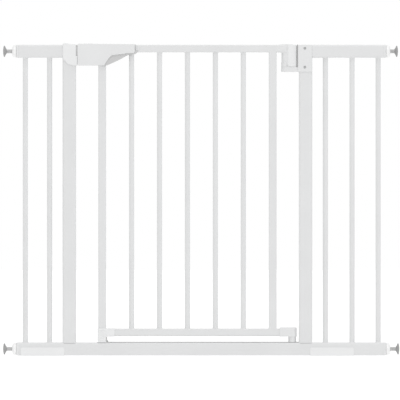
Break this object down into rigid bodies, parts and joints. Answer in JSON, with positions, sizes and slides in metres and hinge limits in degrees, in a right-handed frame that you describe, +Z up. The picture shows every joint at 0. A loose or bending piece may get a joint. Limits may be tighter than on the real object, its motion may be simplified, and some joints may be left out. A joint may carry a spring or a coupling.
{
  "type": "safety baby gate",
  "caption": "White pressure-fit doorway gate: swinging barred door in a U frame, with extensions, squeeze-and-slide handle and screw spindles.",
  "frame": {"origin": "on the floor, in the middle of the gate's whole width and depth", "axes": "+X to the right seen from the front, +Y to the back, +Z up"},
  "size_m": [0.969, 0.032, 0.7643],
  "materials": {
    "white_steel": "white powder coat, satin",
    "white_plastic": "moulded, fine grain",
    "grey_plastic": "moulded, fine grain",
    "dark_strip": "matt, fine ribs",
    "bare_steel": "zinc plated",
    "dark_steel": "grey zinc thread, satin",
    "grey_rubber": "matt"
  },
  "bodies": {
    "frame": {"base_rail": "white_steel", "post_latch": "white_steel", "post_hinge": "white_steel", "strike_housing": "white_plastic", "strike_plate": "grey_plastic", "threshold_strip": "dark_strip", "pivot_bush": "white_plastic", "hinge_bracket": "white_plastic", "hinge_liner": "grey_plastic", "hinge_screws": "bare_steel", "hinge_pin": "bare_steel", "left_ext_top_rail": "white_steel", "left_ext_bottom_rail": "white_steel", "left_ext_bar_1": "white_steel", "left_ext_bar_2": "white_steel", "right_ext_top_rail": "white_steel", "right_ext_bottom_rail": "white_steel", "right_ext_bar_1": "white_steel", "right_ext_bar_2": "white_steel", "right_ext_bar_3": "white_steel", "joiner_pegs": "grey_plastic", "frame_sockets": "grey_plastic", "rail_end_plugs": "white_plastic", "joint_clips": "white_plastic"},
    "door": {"door_top_rail": "white_steel", "door_bottom_rail": "white_steel", "door_stile_latch": "white_steel", "door_stile_hinge": "white_steel", "door_bar_1": "white_steel", "door_bar_2": "white_steel", "door_bar_3": "white_steel", "door_bar_4": "white_steel", "door_bar_5": "white_steel", "handle_front": "white_plastic", "handle_rear": "white_plastic", "handle_screws": "bare_steel", "handle_pins": "bare_steel", "latch_foot": "white_plastic", "hinge_knuckle": "white_plastic", "pivot_cap": "white_plastic", "pivot_pin": "bare_steel", "hinge_spring": "bare_steel", "trigger_spring": "bare_steel"},
    "trigger": {"release_trigger": "grey_plastic"},
    "lock": {"thumb_button": "grey_plastic", "latch_bolt": "grey_plastic"},
    "crank": {"bell_crank": "bare_steel"},
    "lock_rod": {"lock_rod": "bare_steel"},
    "nut_1": {"adjust_nut_1": "white_plastic"},
    "spindle_1": {"spindle_1": "dark_steel", "wall_pad_1": "grey_rubber"},
    "nut_2": {"adjust_nut_2": "white_plastic"},
    "spindle_2": {"spindle_2": "dark_steel", "wall_pad_2": "grey_rubber"},
    "nut_3": {"adjust_nut_3": "white_plastic"},
    "spindle_3": {"spindle_3": "dark_steel", "wall_pad_3": "grey_rubber"},
    "nut_4": {"adjust_nut_4": "white_plastic"},
    "spindle_4": {"spindle_4": "dark_steel", "wall_pad_4": "grey_rubber"}
  },
  "joints": [
    {"name": "door_swing", "type": "hinge", "parent": "frame", "child": "door", "pos_m": [0.2223, 0, 0.38], "axis": [0, 0, 1], "range_deg": [-90, 90], "stiffness_Nm_per_rad": 0.4},
    {"name": "trigger_squeeze", "type": "hinge", "parent": "door", "child": "trigger", "pos_m": [-0.176, 0, 0.7465], "axis": [0, 1, 0], "range_deg": [0, 8], "stiffness_Nm_per_rad": 1.5, "springref_deg": -3.44, "deforming": ["trigger_spring"]},
    {"name": "lock_slide", "type": "slide", "parent": "door", "child": "lock", "axis": [-1, 0, 0], "range_m": [0, 0.008]},
    {"name": "crank_turn", "type": "hinge", "parent": "door", "child": "crank", "pos_m": [-0.2621, 0, 0.749], "axis": [0, 1, 0], "range_deg": [0, 29]},
    {"name": "rod_slide", "type": "slide", "parent": "door", "child": "lock_rod", "axis": [0, 0, -1], "range_m": [0, 0.01]},
    {"name": "spindle_slide_1", "type": "slide", "parent": "frame", "child": "spindle_1", "axis": [-1, 0, 0], "range_m": [-0.012, 0.025]},
    {"name": "nut_turn_1", "type": "hinge", "parent": "frame", "child": "nut_1", "pos_m": [-0.457, 0, 0.7442], "axis": [-1, 0, 0], "range_deg": [-2160, 4500]},
    {"name": "spindle_slide_2", "type": "slide", "parent": "frame", "child": "spindle_2", "axis": [-1, 0, 0], "range_m": [-0.012, 0.025]},
    {"name": "nut_turn_2", "type": "hinge", "parent": "frame", "child": "nut_2", "pos_m": [-0.457, 0, 0.0166], "axis": [-1, 0, 0], "range_deg": [-2160, 4500]},
    {"name": "spindle_slide_3", "type": "slide", "parent": "frame", "child": "spindle_3", "axis": [1, 0, 0], "range_m": [-0.0087, 0.025]},
    {"name": "nut_turn_3", "type": "hinge", "parent": "frame", "child": "nut_3", "pos_m": [0.457, 0, 0.7442], "axis": [1, 0, 0], "range_deg": [-1566, 4500]},
    {"name": "spindle_slide_4", "type": "slide", "parent": "frame", "child": "spindle_4", "axis": [1, 0, 0], "range_m": [-0.012, 0.025]},
    {"name": "nut_turn_4", "type": "hinge", "parent": "frame", "child": "nut_4", "pos_m": [0.457, 0, 0.0166], "axis": [1, 0, 0], "range_deg": [-2160, 4500]}
  ],
  "couplings": [
    {"joint": "crank_turn", "follows": "lock_slide", "rad_per_m": 63.17},
    {"joint": "rod_slide", "follows": "lock_slide", "ratio": 1.25},
    {"joint": "nut_turn_1", "follows": "spindle_slide_1", "rad_per_m": 3141.6},
    {"joint": "nut_turn_2", "follows": "spindle_slide_2", "rad_per_m": 3141.6},
    {"joint": "nut_turn_3", "follows": "spindle_slide_3", "rad_per_m": 3141.6},
    {"joint": "nut_turn_4", "follows": "spindle_slide_4", "rad_per_m": 3141.6}
  ]
}
